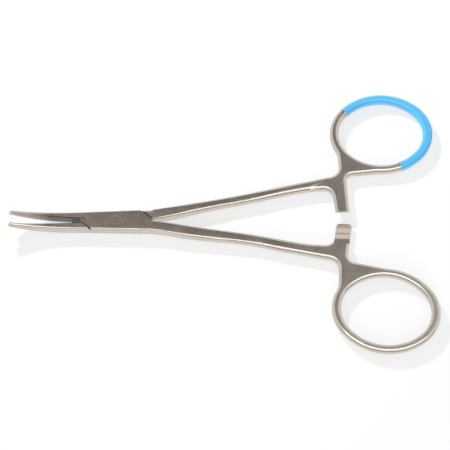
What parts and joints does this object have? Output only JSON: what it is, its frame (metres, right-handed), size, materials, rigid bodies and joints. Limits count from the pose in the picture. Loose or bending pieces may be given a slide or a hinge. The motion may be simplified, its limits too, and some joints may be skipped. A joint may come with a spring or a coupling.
{
  "type": "haemostatic forceps",
  "caption": "Curved mosquito haemostat of satin steel with box lock, ratchet, serrated jaws and finger rings, one ring partly coated in blue.",
  "frame": {"origin": "on the lock pin's axis, in the plane of the box's underside", "axes": "+X from the pin towards the finger rings, midway between the two halves; +Z along the pin, towards the side that the jaws curve to"},
  "size_m": [0.1253, 0.0821, 0.0062],
  "materials": {
    "satin_steel": "satin ground stainless steel",
    "pin_steel": "stainless steel ground flush with the box",
    "blue_coat": "thin glossy light-blue plastic coat"
  },
  "bodies": {
    "female_body": {"female_half": "satin_steel", "lock_pin": "pin_steel"},
    "male_body": {"male_half": "satin_steel", "ring_coat": "blue_coat"}
  },
  "joints": [
    {"name": "box_lock", "type": "hinge", "parent": "female_body", "child": "male_body", "pos_m": [0, 0, 0], "axis": [0, 0, 1], "range_deg": [-5.6, 40]}
  ]
}
